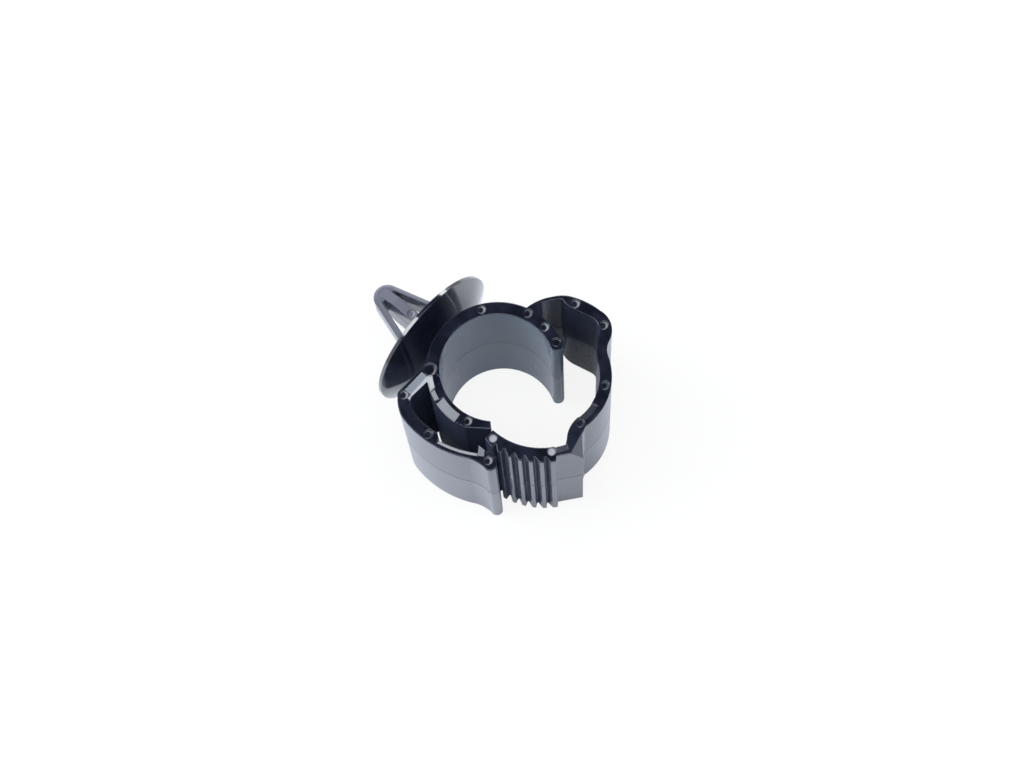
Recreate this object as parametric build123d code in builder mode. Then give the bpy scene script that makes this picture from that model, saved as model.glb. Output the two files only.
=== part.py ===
"""Push-in ratchet tube clamp: one moulding, sizes in millimetres.

The bore axis is Z with the bottom rim at z = 0; the push-in anchor points along +X.
The band is drawn in its own axes, turned about Z so that the anchor falls on X.
"""
import math
import os

from build123d import *

# Main sizes
HEIGHT = 21.2
BORE_R = 8.0
WALL = 1.85
BAND_TURN = 130.2
PARTING_STEP = 0.06

# Strap: a plain arc, then a toothed arc that clears the guide wall
STRAP_MID = (6.4, -2.35)
STRAP_R = 7.6
STRAP_WALL = 1.7
TOOTH_MID = (5.84, -3.02)
TOOTH_BORE_R = 9.75
TOOTH_CREST_R = 11.9
TOOTH_DEPTH = 0.85
TOOTH_LAND = 0.5
TOOTH_SLOPE = 0.65
TOOTH_ROOT = 0.15
TOOTH_TURN = 7.35
TEETH = 6
FIRST_TOOTH = 233.6
STRAP_TIP = 218.6
TIP_R = 11.35

# Film hinge and the loop behind the saddle
HINGE_WALL = 0.5
LOOP_CORNER = (13.28, 3.55)
LOOP_CORNER_R = 3.47
LOOP_END = -56.5
LOOP_BLEND = 3.0

# Link and latch arm
BOSS_MID = (-9.2, 1.1)
BOSS_R = 1.15
ARM_MID = (-0.3, 1.8)
ARM_R = 15.4
ARM_WALL = 1.75
SPRING_WALL = 1.0

# Slopes cut along the top rim
LEAD_FALL = 20
LEAD_WIDTH = 1.3
SPRING_LEAD = 0.5
STRAP_LEAD = 1.0
LINK_LAND = 0.7
WEB_FALL = 65
WEB_DEPTH = 3.2

# Anchor: dished disc, stem and arrowhead
DISC_R = 11.05
DISC_RIM_X = 13.36
DISH = 2.7
DISC_WALL = 0.9
RIM_WALL = 0.5
NECK_R = 3.2
NOSE_R = 2.0
NOSE_X = 24.2
NOSE_BEVEL = 0.6
WING_SLOPE = 16.2
WING_TIP_X = 15.2
WING_WALL = 0.85
WING_HALF_Z = 2.25
STEM_HALF_Y = 0.75
STEM_HALF_Z = 3.3
SLOT_END_X = 22.0

# Ejector pin marks
MARK_R = 0.6
MARK_LIP = 0.25
MARK_DEPTH = 0.18
STEM_MARK_X = 17.1

# Derived sizes
MID_Z = HEIGHT / 2
SADDLE_R = BORE_R + WALL
TOOTH_PITCH = TOOTH_CREST_R * math.radians(TOOTH_TURN)
SPRING_R = ARM_R - SPRING_WALL
DISC_X = DISC_RIM_X - RIM_WALL / 2 - DISH
NOSE_MID_X = NOSE_X - NOSE_R
WING_RISE = math.tan(math.radians(WING_SLOPE))
WING_START_X = NOSE_MID_X + NOSE_R * math.sin(math.radians(WING_SLOPE))
WING_START_Y = NOSE_R * math.cos(math.radians(WING_SLOPE))
WING_INSET = WING_WALL / math.cos(math.radians(WING_SLOPE))
WING_TIP_Y = WING_START_Y + WING_RISE * (WING_START_X - WING_TIP_X)
LEAD_SLOPE = math.tan(math.radians(LEAD_FALL))

bore_mid = (0, 0)
band_plane = Plane.XY.rotated((0, 0, -BAND_TURN))
rim_plane = band_plane.offset(HEIGHT)
side_plane = Plane(origin=(0, 0, MID_Z), x_dir=(1, 0, 0), z_dir=(0, -1, 0))


def polar(mid, radius, angle):
    """Point at a radius and an angle in degrees from a centre."""
    turn = math.radians(angle)
    return (mid[0] + radius * math.cos(turn), mid[1] + radius * math.sin(turn))


def on_arm(step, angle):
    """Point a step outside the latch arm's outer arc, at an angle in degrees."""
    return polar(ARM_MID, ARM_R + step, angle)


def arc(mid, radius, start, end):
    """Arc about a centre between two angles in degrees."""
    half = (start + end) / 2
    return ThreePointArc(polar(mid, radius, start), polar(mid, radius, half), polar(mid, radius, end))


def near(shapes, point):
    """The shape nearest a point of the band's own axes."""
    return shapes.sort_by_distance(Vector(point[0], point[1], 0))[0]


def rim_frame(point, turn, tilt):
    """Rim plane moved to a point of the band, turned about Z and then tilted about its X."""
    turned = Location((*point, 0), (0, 0, turn))
    return Plane(rim_plane.location * turned * Location((0, 0, 0), (tilt, 0, 0)))


def slope_plane(start, end, fall):
    """Plane through a line on the rim that falls to the right of it at an angle in degrees."""
    step_x, step_y = end[0] - start[0], end[1] - start[1]
    mid = (start[0] + step_x / 2, start[1] + step_y / 2)
    return rim_frame(mid, math.degrees(math.atan2(step_y, step_x)), fall)


def upright(mid):
    """Axis along Z through a centre of the band."""
    return Axis(rim_plane.from_local_coords((*mid, 0)), (0, 0, 1))


# Arrowhead: two wings that flare back from a rounded nose, split from a tall stem
with BuildPart() as arrowhead:
    with BuildSketch(Plane.XY.offset(MID_Z)):
        with BuildLine():
            Line((WING_TIP_X, -WING_TIP_Y), (WING_START_X, -WING_START_Y))
            ThreePointArc((WING_START_X, -WING_START_Y), (NOSE_X, 0), (WING_START_X, WING_START_Y))
            Line((WING_START_X, WING_START_Y), (WING_TIP_X, WING_TIP_Y))
            Line((WING_TIP_X, WING_TIP_Y), (WING_TIP_X, -WING_TIP_Y))
        make_face()
    extrude(amount=WING_HALF_Z, both=True)
    chamfer(arrowhead.edges().filter_by(GeomType.CIRCLE), NOSE_BEVEL)
    with BuildSketch(Plane.XY.offset(MID_Z)):
        inner_y = WING_TIP_Y - WING_INSET
        end_y = inner_y - WING_RISE * (SLOT_END_X - WING_TIP_X)
        with BuildLine():
            Polyline(
                (WING_TIP_X, STEM_HALF_Y),
                (SLOT_END_X - 0.2, STEM_HALF_Y),
                (SLOT_END_X, STEM_HALF_Y + 0.2),
                (SLOT_END_X, end_y),
                (WING_TIP_X - 1, inner_y + WING_RISE),
                (WING_TIP_X - 1, STEM_HALF_Y),
                close=True,
            )
        make_face()
        mirror(about=Plane.XZ)
    extrude(amount=WING_HALF_Z, both=True, mode=Mode.SUBTRACT)
    with BuildSketch(side_plane):
        with BuildLine():
            Polyline(
                (DISC_X + DISC_WALL / 2, STEM_HALF_Z),
                (NOSE_MID_X - NOSE_R, STEM_HALF_Z),
                (NOSE_X - NOSE_R / 2, WING_HALF_Z),
                (NOSE_X - NOSE_R / 2, -WING_HALF_Z),
                (NOSE_MID_X - NOSE_R, -STEM_HALF_Z),
                (DISC_X + DISC_WALL / 2, -STEM_HALF_Z),
                close=True,
            )
        make_face()
    extrude(amount=STEM_HALF_Y, both=True)
    with BuildSketch(Plane.XY.offset(MID_Z + STEM_HALF_Z)):
        with Locations((STEM_MARK_X, 0)):
            Circle(MARK_R)
    extrude(amount=-MARK_DEPTH, mode=Mode.SUBTRACT)

with BuildPart() as clamp:
    # Band outline, the same through the whole height
    with BuildSketch(band_plane.offset(MID_Z)) as outline:
        # Saddle with its rounded free end and its thinned guide end
        with BuildLine():
            arc(bore_mid, BORE_R, 13, 256)
            Line(polar(bore_mid, BORE_R, 256), polar(bore_mid, 9.15, 257))
            Line(polar(bore_mid, 9.15, 257), polar(bore_mid, SADDLE_R, 236))
            arc(bore_mid, SADDLE_R, 236, 13)
            ThreePointArc(
                polar(bore_mid, SADDLE_R, 13),
                polar(bore_mid, BORE_R + WALL / 2, 7.1),
                polar(bore_mid, BORE_R, 13),
            )
        make_face()
        # Film hinge, loop, strap and toothed end
        with BuildLine():
            ThreePointArc((5.0, 8.0), (7.1, 9.0), (9.4, 9.35))
            ThreePointArc((9.4, 9.35), (10.5, 9.33), (11.42, 9.13))
            ThreePointArc((11.42, 9.13), (13.6, 7.95), polar(LOOP_CORNER, LOOP_CORNER_R, 50.5))
            arc(LOOP_CORNER, LOOP_CORNER_R, 50.5, LOOP_END)
            ThreePointArc(
                polar(LOOP_CORNER, LOOP_CORNER_R, LOOP_END),
                polar(STRAP_MID, STRAP_R + STRAP_WALL, -20),
                (10.75, -10.6),
            )
            Polyline((10.75, -10.6), (10.2, -11.6), (9.95, -14.0), (6.25, -14.15))
            Line((6.25, -14.15), polar(TOOTH_MID, TOOTH_CREST_R, 271))
            arc(TOOTH_MID, TOOTH_CREST_R, 271, 228)
            Line(polar(TOOTH_MID, TOOTH_CREST_R, 228), polar(TOOTH_MID, TIP_R, STRAP_TIP))
            Line(polar(TOOTH_MID, TIP_R, STRAP_TIP), polar(TOOTH_MID, TOOTH_BORE_R, STRAP_TIP))
            arc(TOOTH_MID, TOOTH_BORE_R, STRAP_TIP, 281.5)
            Line(polar(TOOTH_MID, TOOTH_BORE_R, 281.5), (8.0, -12.0))
            ThreePointArc((8.0, -12.0), (8.6, -10.45), polar(STRAP_MID, STRAP_R, -61))
            arc(STRAP_MID, STRAP_R, -61, 0)
            ThreePointArc(polar(STRAP_MID, STRAP_R, 0), (14.05, 0.0), (14.55, 2.3))
            ThreePointArc((14.55, 2.3), (14.95, 3.9), (14.4, 5.1))
            Line((14.4, 5.1), (12.0, 6.9))
            ThreePointArc((12.0, 6.9), (11.1, 7.75), (10.5, 8.8))
            ThreePointArc((10.5, 8.8), (9.2, 9.33 - HINGE_WALL), (7.6, 8.6))
            Polyline((7.6, 8.6), (7.5, 7.0), (7.0, 6.0), (5.0, 8.0))
        make_face()
        fillet(near(outline.vertices(), polar(LOOP_CORNER, LOOP_CORNER_R, LOOP_END)), LOOP_BLEND)
        # Link, latch arm, pawl and thumb end
        with BuildLine():
            Line((-8.9, 2.45), on_arm(-1.55, 193.2))
            ThreePointArc(on_arm(-1.55, 193.2), on_arm(-1.17, 194.4), on_arm(-0.93, 196.5))
            ThreePointArc(on_arm(-0.93, 196.5), on_arm(-0.33, 202.2), on_arm(0, 208))
            arc(ARM_MID, ARM_R, 208, 250)
            ThreePointArc(on_arm(0, 250), on_arm(0.34, 254.3), on_arm(0.96, 258))
            ThreePointArc(on_arm(0.96, 258), on_arm(1.43, 261.6), on_arm(0.79, 264))
            Polyline(on_arm(0.79, 264), on_arm(-0.66, 263.6), on_arm(-1.24, 259), on_arm(-2.14, 253.3))
            Line(on_arm(-2.14, 253.3), on_arm(-SPRING_WALL, 254))
            arc(ARM_MID, SPRING_R, 254, 230.5)
            Line(on_arm(-SPRING_WALL, 230.5), on_arm(-ARM_WALL, 228.5))
            arc(ARM_MID, ARM_R - ARM_WALL, 228.5, 206)
            ThreePointArc(on_arm(-ARM_WALL, 206), on_arm(-2.2, 201.8), on_arm(-2.76, 199.65))
            Polyline(on_arm(-2.76, 199.65), (-8.9, 0.17), (-8.9, 2.45))
        make_face()
        with Locations(BOSS_MID):
            Circle(BOSS_R)
        # Grooves between the teeth: a long slope on one side and a steep face on the other
        with Locations(TOOTH_MID):
            with PolarLocations(
                TOOTH_CREST_R, TEETH, FIRST_TOOTH, TOOTH_TURN * (TEETH - 1), endpoint=True
            ):
                Polygon(
                    (1, -TOOTH_LAND),
                    (0, -TOOTH_LAND),
                    (-TOOTH_DEPTH, -TOOTH_LAND - TOOTH_SLOPE),
                    (-TOOTH_DEPTH, -TOOTH_LAND - TOOTH_SLOPE - TOOTH_ROOT),
                    (0, -TOOTH_PITCH),
                    (1, -TOOTH_PITCH),
                    mode=Mode.SUBTRACT,
                )
    extrude(amount=MID_Z, both=True)
    # The lower core is a hair larger, which leaves the parting line round the bore
    with Locations((0, 0, MID_Z / 2)):
        Cylinder(BORE_R + PARTING_STEP, MID_Z, mode=Mode.SUBTRACT)
    # The web behind the end stop falls steeply to its corner, and the link slopes gently
    for start, end, fall, reach in (
        ((8.3, -14.0), (10.3, -11.15), WEB_FALL, WEB_DEPTH),
        (on_arm(LINK_LAND - 2.76, 199.65), (-8.9, 0.17 + LINK_LAND), LEAD_FALL, WALL),
    ):
        with BuildSketch(slope_plane(start, end, fall)):
            Rectangle(math.dist(start, end), reach, align=(Align.CENTER, Align.MAX))
        extrude(amount=reach, mode=Mode.SUBTRACT)
    # Lead-ins along the latch spring, the two steps of the guide wall and the strap
    for mid, start, end, land_r, edge_r in (
        (ARM_MID, 231, 254, SPRING_R + SPRING_LEAD, SPRING_R),
        (bore_mid, 184, 202, SADDLE_R - LEAD_WIDTH / 2, SADDLE_R),
        (bore_mid, 203, 226, SADDLE_R - LEAD_WIDTH, SADDLE_R),
        (STRAP_MID, -61, -40, STRAP_R + STRAP_LEAD, STRAP_R),
        (TOOTH_MID, 272, 281.5, TOOTH_BORE_R + STRAP_LEAD, TOOTH_BORE_R),
    ):
        drop = LEAD_SLOPE * abs(edge_r - land_r)
        with BuildSketch(rim_frame(mid, start, 90)):
            Polygon((land_r, 0), (edge_r, -drop), (edge_r, 1), (land_r, 1))
        revolve(axis=upright(mid), revolution_arc=end - start, mode=Mode.SUBTRACT)
    # Ejector pin marks along the top rim
    with BuildSketch(rim_plane):
        with Locations(BOSS_MID):
            Circle(BOSS_R - MARK_LIP)
        with Locations(on_arm(-1.92, 196.8), on_arm(-0.94, 224.6), (5.5, 7.35), (7.5, 4.9)):
            Circle(MARK_R)
        with Locations((8.75, 2.4), (12.3, 7.75), (15.7, 3.9), (14.45, -5.0), (10.2, -9.9)):
            Circle(MARK_R)
        with Locations(on_arm(0.04, 259.9), (5.7, -13.4), (-1.95, -10.3), (-5.0, -7.3), (-0.9, 8.9)):
            Circle(MARK_R - MARK_LIP / 4)
    extrude(amount=-MARK_DEPTH, mode=Mode.SUBTRACT)
    # Dished disc on a short neck
    with BuildSketch(side_plane):
        with BuildLine():
            Line((SADDLE_R - WALL / 2, 0), (SADDLE_R - WALL / 2, NECK_R))
            Line((SADDLE_R - WALL / 2, NECK_R), (DISC_X + DISC_WALL, NECK_R))
            Line((DISC_X + DISC_WALL, NECK_R), (DISC_X + DISC_WALL, 0))
            Line((DISC_X + DISC_WALL, 0), (SADDLE_R - WALL / 2, 0))
        make_face()
        with BuildLine():
            ThreePointArc((DISC_X, 0), (DISC_X + DISH / 4, DISC_R / 2), (DISC_X + DISH, DISC_R))
            Line((DISC_X + DISH, DISC_R), (DISC_X + DISH + RIM_WALL, DISC_R))
            ThreePointArc(
                (DISC_X + DISH + RIM_WALL, DISC_R),
                (DISC_X + DISH / 4 + DISC_WALL * 0.8, DISC_R / 2),
                (DISC_X + DISC_WALL, 0),
            )
            Line((DISC_X + DISC_WALL, 0), (DISC_X, 0))
        make_face()
    revolve(axis=Axis((0, 0, MID_Z), (1, 0, 0)))
    add(arrowhead.part)

clamp.part.label = "ratchet_clamp"
os.makedirs("parts", exist_ok=True)
export_step(clamp.part, "parts/ratchet_clamp.step")
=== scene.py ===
# %% [markdown]
# # A push-in ratchet tube clamp
# The clamp is one black moulding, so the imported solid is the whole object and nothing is
# rebuilt here. What a photograph of it shows is almost all reflection: flat rims that mirror
# a dark ceiling, tall walls that mirror the pale table, and thin bright lines on every edge.
# The lesson is how to light and finish one dark glossy part so that its form can be read.

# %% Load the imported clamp
import math

import bpy
from mathutils import Matrix, Vector


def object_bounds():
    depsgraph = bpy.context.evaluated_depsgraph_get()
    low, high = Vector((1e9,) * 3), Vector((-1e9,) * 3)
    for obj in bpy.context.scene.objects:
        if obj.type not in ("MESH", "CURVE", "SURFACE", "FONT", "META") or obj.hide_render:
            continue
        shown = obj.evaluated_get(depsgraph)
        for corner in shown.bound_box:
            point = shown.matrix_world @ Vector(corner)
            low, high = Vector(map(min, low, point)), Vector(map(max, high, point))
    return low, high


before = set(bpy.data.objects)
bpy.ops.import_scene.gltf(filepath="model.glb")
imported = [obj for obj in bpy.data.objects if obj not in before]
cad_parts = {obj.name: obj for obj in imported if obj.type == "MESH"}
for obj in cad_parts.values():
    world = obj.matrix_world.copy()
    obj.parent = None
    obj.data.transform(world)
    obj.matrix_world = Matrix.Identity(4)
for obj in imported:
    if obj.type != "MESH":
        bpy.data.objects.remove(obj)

MM = 0.001
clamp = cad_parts["ratchet_clamp"]
cad_box = [list(corner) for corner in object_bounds()]
low, high = (Vector(corner) for corner in cad_box)
print("clamp size in mm:", [round(side / MM, 1) for side in high - low])

# %% [markdown]
# ## Camera
# The photograph looks steeply down from one side with a short telephoto view. A camera is
# easiest to read as a point that it aims at, a direction to stand in, a distance and a
# small roll, so these five are the driving values and the matrix is worked out from them.

# %% Place the camera
CAMERA_AIM = Vector((-0.31, -2.27, 10.6)) * MM
CAMERA_AZIMUTH = -132.79
CAMERA_ELEVATION = 69.06
CAMERA_DISTANCE = 251.3 * MM
CAMERA_ROLL = -5.87
CAMERA_LENS = 61.0


def direction(azimuth, elevation):
    """Unit vector from the object to a place at that azimuth and elevation, in degrees."""
    turn, rise = math.radians(azimuth), math.radians(elevation)
    return Vector((math.sin(turn) * math.cos(rise), -math.cos(turn) * math.cos(rise), math.sin(rise)))


camera = bpy.data.objects.new("camera", bpy.data.cameras.new("camera"))
camera.data.lens = CAMERA_LENS
camera.data.clip_start = 0.01
toward_camera = direction(CAMERA_AZIMUTH, CAMERA_ELEVATION)
aim_turn = toward_camera.to_track_quat("Z", "Y").to_matrix().to_4x4()
roll_turn = Matrix.Rotation(math.radians(CAMERA_ROLL), 4, "Z")
stand = Matrix.Translation(CAMERA_AIM + toward_camera * CAMERA_DISTANCE)
camera.matrix_world = stand @ aim_turn @ roll_turn
bpy.context.scene.collection.objects.link(camera)
bpy.context.scene.camera = camera
print("camera at, in mm:", [round(v / MM, 1) for v in camera.matrix_world.translation])

# %% [markdown]
# ## Shader maths
# A material is easier to read as a formula than as a picture of boxes. `Term` wraps one
# output socket, and arithmetic on it adds Math nodes, so `1 - mask` means what it says.
# Every other node comes from `Recipe.node`, which takes its type, its settings and its inputs.

# %% Wrap sockets so that formulas build nodes
class Term:
    """A value that changes over the surface."""

    def __init__(self, recipe, socket):
        self.recipe = recipe
        self.socket = socket

    def math(self, operation, *others):
        values = dict(enumerate((self, *others)))
        return self.recipe.node("ShaderNodeMath", {"operation": operation}, values)

    def __add__(self, other):
        return self.math("ADD", other)

    def __sub__(self, other):
        return self.math("SUBTRACT", other)

    def __rsub__(self, other):
        return (self * -1) + other

    def __mul__(self, other):
        return self.math("MULTIPLY", other)

    __radd__ = __add__
    __rmul__ = __mul__

    def ramp(self, start, end):
        """0 at start and 1 at end, with a smooth step between them."""
        values = {"Value": self, "From Min": start, "From Max": end}
        return self.recipe.node("ShaderNodeMapRange", {"interpolation_type": "SMOOTHSTEP"}, values)

    def between(self, start, end, soft=0.03):
        """1 from start to end, with soft edges, and 0 elsewhere."""
        return self.ramp(start - soft, start + soft) * self.ramp(end + soft, end - soft)

    def peak(self, middle, half_width):
        """1 at a value, fading to 0 half a width away on either side."""
        return (self - middle).math("ABSOLUTE").ramp(half_width, 0.0)


class Recipe:
    """One node tree, of a material or of the world."""

    def __init__(self, tree):
        self.tree = tree
        self.tree.nodes.clear()

    def node(self, kind, settings=None, inputs=None, output=0):
        """Add a node: settings first, then values or links for its sockets."""
        made = self.tree.nodes.new(kind)
        for name, value in (settings or {}).items():
            setattr(made, name, value)
        for key, value in (inputs or {}).items():
            if isinstance(value, Term):
                self.tree.links.new(value.socket, made.inputs[key])
            else:
                made.inputs[key].default_value = value
        return Term(self, made.outputs[output]) if made.outputs else None

    def mix(self, factor, first, second):
        """Blend two colours."""
        values = {0: factor, 6: first, 7: second}
        return self.node("ShaderNodeMix", {"data_type": "RGBA"}, values, 2)

    def turn(self, factor, first, second):
        """Blend two directions."""
        values = {0: factor, 4: first, 5: second}
        return self.node("ShaderNodeMix", {"data_type": "VECTOR"}, values, 1)

    def distance(self, first, second):
        """Distance between two places."""
        return self.node("ShaderNodeVectorMath", {"operation": "DISTANCE"}, {0: first, 1: second}, "Value")


def material_of(name):
    """An empty material and its recipe."""
    made = bpy.data.materials.new(name)
    made.use_nodes = True
    return made, Recipe(made.node_tree)


# %% [markdown]
# ## Floor and light
# The clamp lies on a white sheet that the photograph shows almost burnt out, with a faint
# soft shadow. For the camera much of that white is the sheet's own glow, so the shadow
# stays but turns faint, and no extra light falls on the clamp. The sheet itself is faintly
# blue, which gives the tall walls that mirror it their cool cast.

# %% Make the floor
FLOOR_SIZE = 3.0
FLOOR_COLOR = (0.84, 0.865, 0.92, 1)
FLOOR_WASH = 0.86

bpy.ops.mesh.primitive_plane_add(size=FLOOR_SIZE, location=(0, 0, low.z))
floor = bpy.context.object
floor.name = "floor"
floor_material, sheet = material_of("white_sheet")
camera_ray = sheet.node("ShaderNodeLightPath", None, None, "Is Camera Ray")
paper = sheet.node("ShaderNodeBsdfDiffuse", None, {"Color": FLOOR_COLOR})
glow = sheet.node("ShaderNodeEmission", None, {"Color": (1, 1, 1, 1), "Strength": 1.0})
washed = sheet.node("ShaderNodeMixShader", None, {0: camera_ray * FLOOR_WASH, 1: paper, 2: glow})
sheet.node("ShaderNodeOutputMaterial", None, {"Surface": washed})
floor.data.materials.append(floor_material)
print("floor at height in mm:", round(low.z / MM, 2), "and for the camera", FLOOR_WASH, "glow")

# %% [markdown]
# ## Softboxes
# Each row of the table below is a box: its azimuth and elevation as seen from the clamp in
# degrees, its two sides in metres and its radiance, from which the lamp's power follows.
#
# A dark glossy part shows its lights as much as its own colour, so each light is chosen by
# what a face mirrors. Seen from this steep camera a level rim mirrors a patch high up on
# the far side, which stays dark. The wide overhead box stands on the camera's side and
# reaches the floor inside the ring. The left box whitens the slopes of the guide wall, the
# far one the latch spring and the inner edges, and the small right one the link.

# %% Set the softboxes
SOFTBOX_DISTANCE = 0.7
SOFTBOXES = {
    "overhead_softbox": (CAMERA_AZIMUTH - 5, 77, 0.44, 0.44, 4.2),
    "left_softbox": (129, 50, 0.34, 0.56, 4.5),
    "far_softbox": (35, 32, 0.26, 0.26, 5.0),
    "right_softbox": (-59, 62, 0.16, 0.16, 8.5),
}

for name, (azimuth, elevation, width, tall, radiance) in SOFTBOXES.items():
    lamp = bpy.data.lights.new(name, "AREA")
    lamp.shape = "RECTANGLE"
    lamp.size = width
    lamp.size_y = tall
    lamp.energy = radiance * math.pi * width * tall
    made = bpy.data.objects.new(name, lamp)
    away = direction(azimuth, elevation)
    lamp_turn = away.to_track_quat("Z", "Y").to_matrix().to_4x4()
    made.matrix_world = Matrix.Translation(away * SOFTBOX_DISTANCE) @ lamp_turn
    bpy.context.scene.collection.objects.link(made)
    print(name, "power in watts:", round(lamp.energy, 2))

# %% [markdown]
# ## Sky
# The world is a plain studio: pale walls low down, which the rounded edges mirror as thin
# light lines, and a dark ceiling, which the level rims mirror. The camera itself sees white.

# %% Grade the sky
SKY_LOW = 0.6
SKY_HIGH = 0.03
CEILING_RISE = (0.5, 0.75)

world = bpy.data.worlds.new("studio")
bpy.context.scene.world = world
world.use_nodes = True
sky = Recipe(world.node_tree)
look = sky.node("ShaderNodeTexCoord", None, None, "Generated")
rise = sky.node("ShaderNodeSeparateXYZ", None, {"Vector": look}, "Z")
strength = SKY_LOW + (SKY_HIGH - SKY_LOW) * rise.ramp(*CEILING_RISE)
camera_ray = sky.node("ShaderNodeLightPath", None, None, "Is Camera Ray")
shown = camera_ray + (1 - camera_ray) * strength
backdrop = sky.node("ShaderNodeBackground", None, {"Color": (1, 1, 1, 1), "Strength": shown})
sky.node("ShaderNodeOutputWorld", None, {"Surface": backdrop})
print("sky strength from", SKY_LOW, "at the walls to", SKY_HIGH, "overhead")

# %% [markdown]
# ## Where things are on the clamp
# The finish changes from place to place, so the recipe first measures where it is: how far
# above the parting plane, how far from the bore axis and whether the face lies level. Each
# of the masks below is a plain sentence about those, such as beyond the disc, or level.

# %% Measure the place on the clamp
PARTING_HEIGHT_MM = 10.6
RIM_ABOVE_MM = 9.9
BORE_EDGE_MM = 8.3
DISC_START_MM = 9.9
ANCHOR_START_MM = 14.2

plastic, mould = material_of("black_nylon")
place = mould.node("ShaderNodeTexCoord", None, None, "Object")
place_mm = mould.node("ShaderNodeVectorMath", {"operation": "SCALE"}, {0: place, "Scale": 1 / MM})
plan_mm = mould.node("ShaderNodeVectorMath", {"operation": "MULTIPLY"}, {0: place_mm, 1: (1, 1, 0)})
x_mm = mould.node("ShaderNodeSeparateXYZ", None, {"Vector": place_mm}, "X")
y_mm = mould.node("ShaderNodeSeparateXYZ", None, {"Vector": place_mm}, "Y")
above = mould.node("ShaderNodeSeparateXYZ", None, {"Vector": place_mm}, "Z") - PARTING_HEIGHT_MM
bore_mm = mould.distance(plan_mm, (0, 0, 0))
facing = mould.node("ShaderNodeNewGeometry", None, None, "True Normal")
upward = mould.node("ShaderNodeSeparateXYZ", None, {"Vector": facing}, "Z")
level = upward.math("ABSOLUTE").ramp(0.3, 0.9)
rim = above.ramp(RIM_ABOVE_MM, RIM_ABOVE_MM + 0.1) * upward.ramp(0.8, 0.9)
anchor = x_mm.ramp(ANCHOR_START_MM, ANCHOR_START_MM + 0.4)
disc = x_mm.ramp(DISC_START_MM, DISC_START_MM + 0.5) * (1 - anchor)
bore = bore_mm.ramp(BORE_EDGE_MM + 0.1, BORE_EDGE_MM)
print("parting plane at height in mm:", PARTING_HEIGHT_MM)

# %% [markdown]
# ## Ejector pin marks
# Pins push the moulding out of its mould and leave round witness marks on the upper rim.
# The recesses are real in the solid. What the photograph adds is a bright crescent in
# each, on the side away from the main light, and two marks that are pale all over, and the
# colour paints both in as highlights. A crescent is a disc with the same disc, moved to one
# side, taken out of it. Some crescent highlights fade nearly away, which a slow noise decides.
# The pins' places are given in the band's own drawing, which stands turned on the clamp.

# %% Paint the highlights of the ejector pin marks
BAND_TURN = math.radians(130.2)
CRESCENT_SHIFT_MM = (0.21, 0.19)
CRESCENT_HIGHLIGHT_STRENGTH, PALE_PIN_HIGHLIGHT_STRENGTH = 0.6, 0.75
PINS_ABOVE_MM = 2.9
PIN_R_MM, BOSS_PIN_R_MM = 0.6, 0.9
THUMB_PIN_MM = (-3.01, -13.4)
PINS_MM = [
    THUMB_PIN_MM, (-13.2, -2.1), (-10.6, -8.35), (5.5, 7.35), (7.5, 4.9), (8.75, 2.4),
    (12.3, 7.75), (15.7, 3.9), (14.45, -5.0), (10.2, -9.9), (-5.0, -7.3), (-0.9, 8.9),
    (-11.04, 13.06),
]
HIGHLIT_PINS_MM = [(5.7, -13.4), (-1.95, -10.3)]
BOSS_PIN_MM = (-9.2, 1.1)


def on_clamp(point, shift=(0, 0)):
    """Place on the clamp of a point of the band's own drawing, in millimetres."""
    cos, sin = math.cos(BAND_TURN), math.sin(BAND_TURN)
    x, y = point
    return (x * cos + y * sin + shift[0], y * cos - x * sin + shift[1], 0)


def pin_discs(points, radius, shift=(0, 0)):
    """1 inside a disc round each point, with a soft edge, and 0 outside."""
    nearest = mould.distance(plan_mm, on_clamp(points[0], shift))
    for point in points[1:]:
        nearest = nearest.math("MINIMUM", mould.distance(plan_mm, on_clamp(point, shift)))
    return nearest.ramp(radius + 0.05, radius - 0.2)


def pin_crescents(points, radius):
    """1 in the part of each pin's disc that the shifted disc leaves free."""
    return pin_discs(points, radius) * (1 - pin_discs(points, radius, CRESCENT_SHIFT_MM))


upper = above.ramp(PINS_ABOVE_MM, PINS_ABOVE_MM + 0.2)
crescent_highlights = pin_crescents(PINS_MM, PIN_R_MM) + pin_crescents([BOSS_PIN_MM], BOSS_PIN_R_MM)
highlit_pins = pin_discs(HIGHLIT_PINS_MM, PIN_R_MM)
highlight_fade = mould.node("ShaderNodeTexNoise", None, {"Vector": place_mm, "Scale": 0.22, "Detail": 0.0})
# Painted highlight: the crescents and the pale pin marks are light painted into the colour, and a slow
# noise fades some of them.
crescent_highlights = crescent_highlights * highlight_fade.ramp(0.3, 0.62) * CRESCENT_HIGHLIGHT_STRENGTH
pin_highlights = upper * (crescent_highlights + highlit_pins * PALE_PIN_HIGHLIGHT_STRENGTH)
print("ejector pin marks:", len(PINS_MM) + len(HIGHLIT_PINS_MM) + 1)

# %% [markdown]
# ## Relief too fine for the solid
# Three things are worked into the surface normal: a hair-fine ridge along the parting line,
# the draft that lets each half leave the mould, and a faint waviness, which the polished
# disc lacks. The Bevel node rounds every edge by the small radius that a real mould leaves.

# %% Add the fine relief
PARTING_WIDTH_MM = 0.2
PARTING_RIDGE_MM = 0.1
DRAFT = 0.02
PEEL_MM = 0.02
GRAIN_MM = 0.0006
EDGE_R_MM = 0.28

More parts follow.
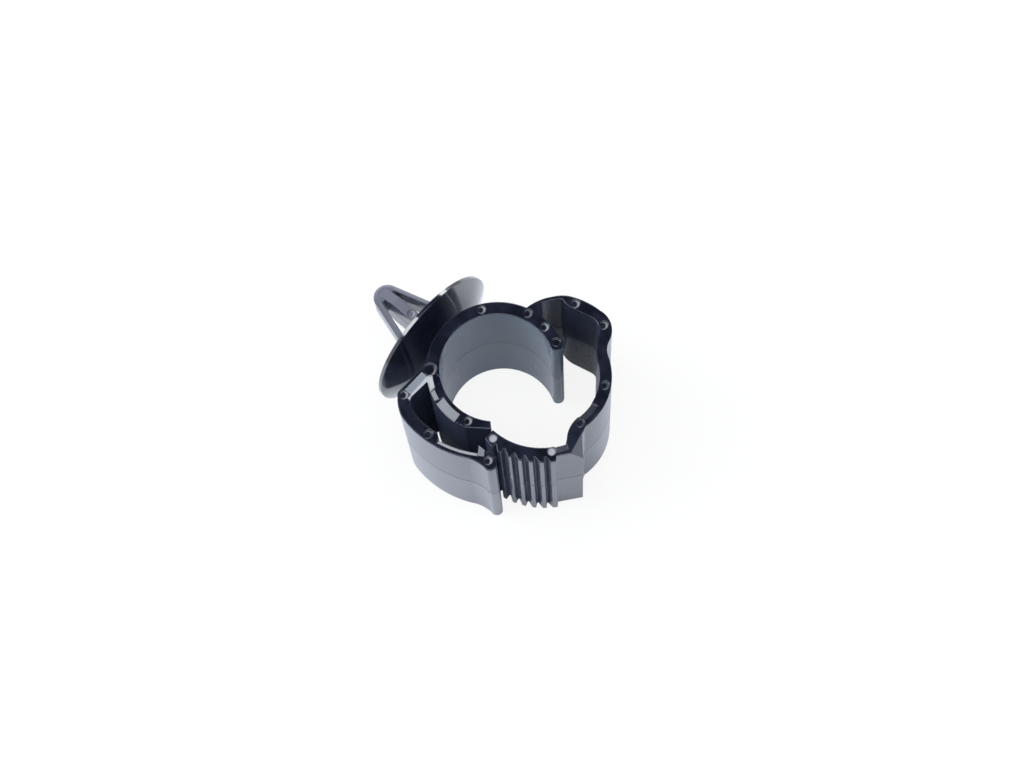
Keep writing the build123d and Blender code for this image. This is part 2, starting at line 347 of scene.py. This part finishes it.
peel = mould.node("ShaderNodeTexNoise", None, {"Vector": place_mm, "Scale": 0.6, "Detail": 1.0})
grain = mould.node("ShaderNodeTexNoise", None, {"Vector": place_mm, "Scale": 5.0, "Detail": 4.0})
ridge = above.peak(0.0, PARTING_WIDTH_MM) * PARTING_RIDGE_MM
draft = above.math("ABSOLUTE") * -DRAFT
height = ridge + draft + (peel * PEEL_MM + grain * GRAIN_MM) * (1 - disc)
rounded = mould.node("ShaderNodeBevel", {"samples": 8}, {"Radius": EDGE_R_MM * MM})
bumped = mould.node("ShaderNodeBump", None, {"Height": height, "Distance": MM, "Normal": rounded})
print("edges rounded in mm:", EDGE_R_MM, "and parting ridge:", PARTING_RIDGE_MM)

# %% [markdown]
# ## Slopes on the rim
# The link and the pawl's hook fall gently to the inside, which turns them bright: they
# mirror a softbox instead of the dark ceiling. The solid has the slope along the link's
# inner edge only, so the shading of the rest of its top leans the same way here. Beside the
# boss the solid's slope runs on over the saddle's rim, whose inner half is level on the real
# part, so its shading is made level. Only the way the light falls changes, not the mesh.

# %% Lean the link, the hook and the saddle's rim
SLOPE = math.radians(20)
LINK_X_MM, LINK_Y_MM = (5.7, 7.4), (7.35, 10.85)
LINK_FALLS, HOOK_FALLS = math.radians(180), math.radians(-54)
ARM_MID_MM = (1.57, -0.93, 0)
HOOK_STEPS_MM, HOOK_TURNS = (13.0, 14.85), (math.radians(123.8), math.radians(127.4))
SADDLE_LAND_R_MM, SADDLE_LAND_TURNS = 9.0, (math.radians(45), math.radians(67))
UPRIGHT = (0, 0, 1)


def leaning(angle):
    """Unit vector that leans from upright by the slope, towards an angle about Z."""
    return (math.cos(angle) * math.sin(SLOPE), math.sin(angle) * math.sin(SLOPE), math.cos(SLOPE))


link = rim * x_mm.between(*LINK_X_MM) * y_mm.between(*LINK_Y_MM)
arm_step = mould.distance(plan_mm, ARM_MID_MM)
arm_turn = (y_mm - ARM_MID_MM[1]).math("ARCTAN2", x_mm - ARM_MID_MM[0])
thumb_pin = mould.distance(plan_mm, on_clamp(THUMB_PIN_MM)).ramp(0.8, 0.7)
on_hook = arm_step.between(*HOOK_STEPS_MM) * arm_turn.between(*HOOK_TURNS, 0.003)
hook = rim * on_hook * (1 - thumb_pin)
bore_turn = y_mm.math("ARCTAN2", x_mm)
inner_half = bore_mm.ramp(SADDLE_LAND_R_MM + 0.05, SADDLE_LAND_R_MM - 0.05)
overrun = rim * inner_half * bore_turn.between(*SADDLE_LAND_TURNS, 0.01)
normal = mould.turn(link, bumped, leaning(LINK_FALLS))
normal = mould.turn(hook, normal, leaning(HOOK_FALLS))
normal = mould.turn(overrun, normal, UPRIGHT)
print("link and hook lean in degrees:", round(math.degrees(SLOPE)))

# %% [markdown]
# ## Deep walls
# The photograph shows some walls far darker than others that stand at the same angle: those
# inside the latch gap and the loop, the roots of the teeth, and the wall that the disc
# mirrors. They lie in shade, and here that shade is painted into the material: they are made
# dull and far less reflective, so they show less of the pale floor. The loop's wall grows
# glossy again towards the film hinge and, in part, below the parting line. Each wall is found
# by its bounds, which are distances from the middles of arcs and places along the clamp's or
# the band's axes.

# %% Find the deep walls
GAP_ARM_MM, GAP_BORE_MM = 14.5, 9.1
GAP_X_MM, GAP_Y_MM = 6.0, 4.4
LOOP_MID_MM, LOOP_REACH_MM = (-3.2, -12.5, 0), 6.5
LOOP_BORE_MM, LOOP_BAND_X_MM, LOWER_LOOP = 10.1, (7.6, 9.2), 0.35
TOOTH_MID_MM, TOOTH_ROOTS_MM = (5.84, -3.02), (10.9, 11.5)
TEETH_BAND_X_MM, TEETH_BAND_Y_MM = 5.9, -9.6
BEHIND_DISC_X_MM, BEHIND_DISC_BORE_MM = (7.2, 9.8), 9.2

upright = 1 - level
band_x = x_mm * math.cos(BAND_TURN) - y_mm * math.sin(BAND_TURN)
band_y = x_mm * math.sin(BAND_TURN) + y_mm * math.cos(BAND_TURN)

beside_guide = y_mm.ramp(GAP_Y_MM - 0.4, GAP_Y_MM) * x_mm.ramp(GAP_X_MM + 0.1, GAP_X_MM)
in_ring = arm_step.ramp(GAP_ARM_MM + 0.1, GAP_ARM_MM) * bore_mm.ramp(GAP_BORE_MM - 0.1, GAP_BORE_MM)
gap = in_ring * beside_guide

from_mid = mould.node("ShaderNodeVectorMath", {"operation": "SUBTRACT"}, {0: plan_mm, 1: LOOP_MID_MM})
both = {0: facing, 1: from_mid}
outward = mould.node("ShaderNodeVectorMath", {"operation": "DOT_PRODUCT"}, both, "Value")
near_loop = mould.distance(plan_mm, LOOP_MID_MM).ramp(LOOP_REACH_MM + 0.1, LOOP_REACH_MM)
inside_loop = outward.ramp(0.3, -0.3) * bore_mm.ramp(LOOP_BORE_MM - 0.2, LOOP_BORE_MM) * near_loop
upper_share = LOWER_LOOP + (1 - LOWER_LOOP) * above.ramp(-1.0, 0.5)
loop = inside_loop * band_x.ramp(*LOOP_BAND_X_MM) * upper_share

tooth_step = mould.distance(plan_mm, on_clamp(TOOTH_MID_MM))
below_tip = band_y.ramp(TEETH_BAND_Y_MM + 0.2, TEETH_BAND_Y_MM)
before_panel = band_x.ramp(TEETH_BAND_X_MM + 0.2, TEETH_BAND_X_MM)
roots = tooth_step.between(*TOOTH_ROOTS_MM, 0.1) * below_tip * before_panel

outside_saddle = bore_mm.ramp(BEHIND_DISC_BORE_MM - 0.2, BEHIND_DISC_BORE_MM)
behind_disc = x_mm.between(*BEHIND_DISC_X_MM) * outside_saddle
# Painted shade: these walls get the dull, less reflective shader.
deep_shade = upright * gap.math("MAXIMUM", loop).math("MAXIMUM", roots).math("MAXIMUM", behind_disc)
print("nodes for the masks so far:", len(plastic.node_tree.nodes))

# %% [markdown]
# ## The bore
# The bore and the saddle's rounded end look greyer than the outer walls in the photograph, so
# their colour is painted a lighter blue-grey: painted light, standing in for the pale floor they mirror.

# %% Find the walls painted lighter
SADDLE_END_MM, SADDLE_END_R_MM = (-4.49, -7.71, 0), 1.1

saddle_end = mould.distance(plan_mm, SADDLE_END_MM).ramp(SADDLE_END_R_MM + 0.05, SADDLE_END_R_MM)
# Painted light: these walls get a lighter colour for the light they mirror.
bore_painted_light = upright * bore.math("MAXIMUM", saddle_end)
print("greyer within mm of the bore axis:", BORE_EDGE_MM)

# %% [markdown]
# ## The black plastic
# The moulding is unpainted nylon, a bluish black, polished in the mould to a gloss that is
# a little uneven. The level faces of the arrowhead are matt, and as the photograph shows them
# their colour is painted a lighter lavender grey: partly a blushed finish, partly painted light
# on faces that look up. The painted highlights of the pin marks go on last.

# %% Mix the colour
BLACK = (0.004, 0.0055, 0.012, 1)
BLUE_BLACK = (0.013, 0.015, 0.029, 1)
# The bore's blue-grey is painted light, not a colour of the nylon.
BORE_PAINTED_LIGHT = (0.08, 0.125, 0.175, 1)
# The arrowhead's lavender grey is partly a blushed finish and partly painted light.
BLUSH_AND_PAINTED_LIGHT = (0.12, 0.125, 0.165, 1)
# The pin marks' colour is a painted highlight.
PIN_HIGHLIGHT = (0.5, 0.51, 0.56, 1)
SIDE_BLUSH_AND_LIGHT = 0.15

cloud = mould.node("ShaderNodeTexNoise", None, {"Vector": place_mm, "Scale": 0.35, "Detail": 3.0})
color = mould.mix(cloud.ramp(0.35, 0.7), BLACK, BLUE_BLACK)
color = mould.mix(bore_painted_light, color, BORE_PAINTED_LIGHT)
# Partly blushed finish, partly painted light: the arrowhead's level faces are painted lighter, its sides a
# little.
color = mould.mix(anchor * (SIDE_BLUSH_AND_LIGHT + (1 - SIDE_BLUSH_AND_LIGHT) * level), color, BLUSH_AND_PAINTED_LIGHT)
# The painted highlights of the pin marks go into the colour here.
color = mould.mix(pin_highlights, color, PIN_HIGHLIGHT)
print("nodes with the colour:", len(plastic.node_tree.nodes))

# %% [markdown]
# ## Gloss
# Two shaders share the colour and the relief. The polished one has a clear coat, which is
# full on the disc and thin elsewhere, and is taken off where the rim only seems level. The
# dull one paints shade on the deep walls. A thin bluish sheen gives both the lavender cast
# that the photograph shows on the tall walls.

# %% Make the plastic
SHEEN_TINT = (0.4, 0.55, 1.0, 1)
SPECULAR_TINT = (0.75, 0.85, 1.0, 1)
THIN_COAT = 0.27
DULLING = 0.85

shared = {
    "Base Color": color,
    "IOR": 1.55,
    "Specular Tint": SPECULAR_TINT,
    "Sheen Weight": 0.14,
    "Sheen Roughness": 0.4,
    "Sheen Tint": SHEEN_TINT,
    "Normal": normal,
}
gloss = {
    "Roughness": 0.1 + 0.06 * cloud + 0.3 * anchor * level,
    "Specular IOR Level": 0.55,
    "Coat Weight": (THIN_COAT + (1 - THIN_COAT) * disc) * (1 - overrun),
    "Coat Roughness": 0.06,
    "Coat IOR": 2.0,
}
# The dull shader paints shade on the deep walls.
shade_dulling = {"Roughness": 0.4, "Specular IOR Level": 0.2}
polished = mould.node("ShaderNodeBsdfPrincipled", None, {**shared, **gloss})
dull = mould.node("ShaderNodeBsdfPrincipled", None, {**shared, **shade_dulling})
skin = mould.node("ShaderNodeMixShader", None, {0: DULLING * deep_shade, 1: polished, 2: dull})
mould.node("ShaderNodeOutputMaterial", None, {"Surface": skin})
print("nodes in the plastic:", len(plastic.node_tree.nodes))

# %% [markdown]
# ## The finished clamp
# The one solid takes the one plastic. Nothing was added to its mesh, so the box that is shown
# has to be the box that was loaded.

# %% Give the clamp its plastic
clamp.data.materials.clear()
clamp.data.materials.append(plastic)
for polygon in clamp.data.polygons:
    polygon.material_index = 0
print("faces of the clamp:", len(clamp.data.polygons))

# %% [markdown]
# ## Colour
# The Standard view keeps the white floor white and the plastic as dark as it was mixed.

# %% Set the colour view
bpy.context.scene.view_settings.view_transform = "Standard"
